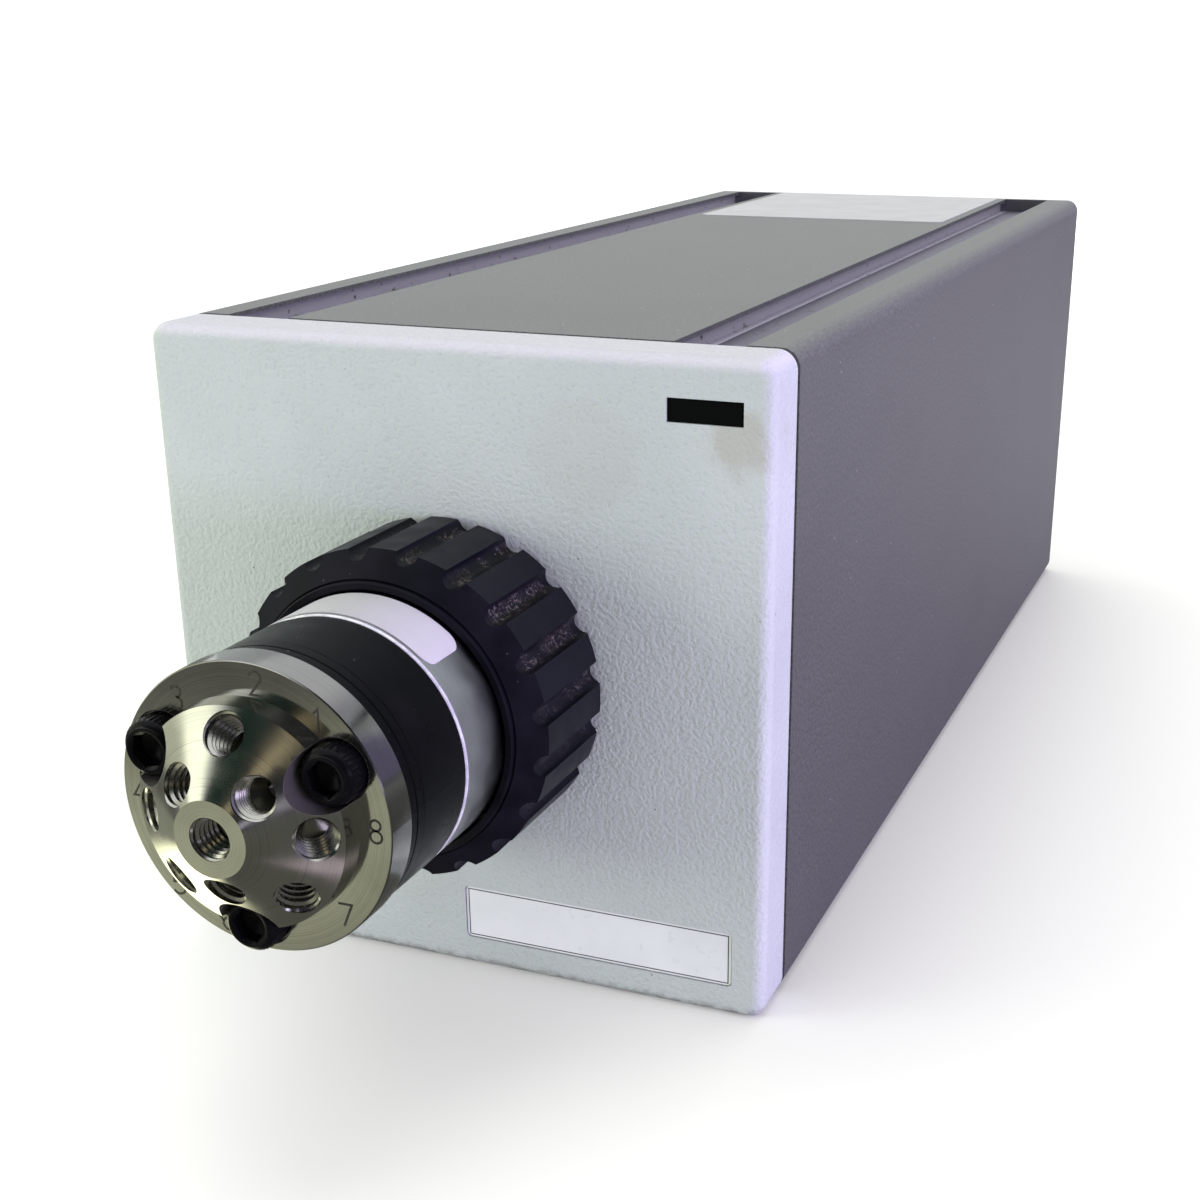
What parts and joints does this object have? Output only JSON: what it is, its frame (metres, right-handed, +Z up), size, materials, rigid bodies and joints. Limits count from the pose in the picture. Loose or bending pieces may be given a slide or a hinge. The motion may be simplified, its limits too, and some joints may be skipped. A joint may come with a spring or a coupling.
{
  "type": "hplc injection valve",
  "caption": "Motor-driven rotary valve: long square metal casing, front panel, and a round quick-change valve head with coned fluid ports held by a fluted nut.",
  "frame": {"origin": "centre of the casing's flat underside", "axes": "+X to the right seen from the front, +Y from the valve head towards the rear connectors, +Z up"},
  "size_m": [0.09, 0.2928, 0.0901],
  "materials": {
    "casing_metal": "bead blasted, clear anodised",
    "panel_plastic": "fine leather-grain moulded",
    "plate_metal": "milled",
    "label_film": "smooth satin film",
    "window_smoke": "gloss, smoked",
    "led": "clear",
    "board": "solder mask",
    "component": "moulded",
    "bright_steel": "turned",
    "rear_screw_steel": "zinc plated",
    "gear_metal": "zinc plated",
    "encoder": "film",
    "lan_shell": "tin plated",
    "serial_shell": "tin plated",
    "inlet_black": "moulded",
    "inlet_nut": "nickel plated",
    "sticker": "satin film",
    "nut_black": "moulded, semi matte",
    "body_steel": "fine turned",
    "ring_black": "turned",
    "stator_steel": "turned and polished",
    "screw_black": "black oxide",
    "face_polymer": "lapped"
  },
  "bodies": {
    "drive": {"casing": "casing_metal", "front_panel": "panel_plastic", "front_plate": "plate_metal", "front_screws": "bright_steel", "label_plate": "label_film", "status_window": "window_smoke", "status_leds": "led", "status_board": "board", "socket_ring": "bright_steel", "socket_screws": "bright_steel", "locating_pin": "bright_steel", "reader_board": "board", "bearing_block": "plate_metal", "block_screws": "bright_steel", "bearing_outer_race": "bright_steel", "bearing_balls": "bright_steel", "gearbox": "gear_metal", "motor": "gear_metal", "encoder_board": "board", "encoder_posts": "bright_steel", "main_board": "board", "board_components": "component", "rear_panel": "plate_metal", "rear_screws": "rear_screw_steel", "lan_socket": "lan_shell", "serial_socket": "serial_shell", "power_inlet": "inlet_black", "inlet_nut": "inlet_nut", "top_sticker": "sticker"},
    "motor_rotor": {"motor_shaft": "bright_steel", "encoder_disc": "encoder"},
    "drive_shaft": {"output_shaft": "bright_steel", "drive_hub": "bright_steel", "bearing_inner_race": "bright_steel"},
    "valve_head": {"valve_body": "body_steel", "body_sticker": "sticker", "stator_ring": "ring_black", "ring_collar": "ring_black", "stator_head": "stator_steel", "stator_screws": "screw_black", "stator_face": "face_polymer", "adjusting_nut": "bright_steel", "disc_springs": "bright_steel", "rear_race": "bright_steel", "thrust_needles": "bright_steel"},
    "valve_rotor": {"valve_shaft": "bright_steel", "rotor_seal": "face_polymer", "seal_pins": "bright_steel", "front_race": "bright_steel"},
    "nut": {"union_nut": "nut_black"}
  },
  "joints": [
    {"name": "head_slide", "type": "slide", "parent": "drive", "child": "valve_head", "axis": [0, -1, 0], "range_m": [0, 0.008]},
    {"name": "nut_turn", "type": "hinge", "parent": "valve_head", "child": "nut", "pos_m": [0, -0.137, 0.045], "axis": [0, -1, 0], "range_deg": [0, 1440]},
    {"name": "motor_turn", "type": "hinge", "parent": "drive", "child": "motor_rotor", "pos_m": [0, 0.014, 0.045], "axis": [0, -1, 0], "continuous": true},
    {"name": "drive_turn", "type": "hinge", "parent": "drive", "child": "drive_shaft", "pos_m": [0, -0.101, 0.045], "axis": [0, -1, 0], "continuous": true},
    {"name": "rotor_turn", "type": "hinge", "parent": "valve_head", "child": "valve_rotor", "pos_m": [0, -0.1494, 0.045], "axis": [0, -1, 0], "continuous": true}
  ],
  "couplings": [
    {"joint": "nut_turn", "follows": "head_slide", "rad_per_m": 3141.6},
    {"joint": "drive_turn", "follows": "motor_turn", "ratio": 0.0625},
    {"joint": "rotor_turn", "follows": "motor_turn", "ratio": 0.0625}
  ]
}
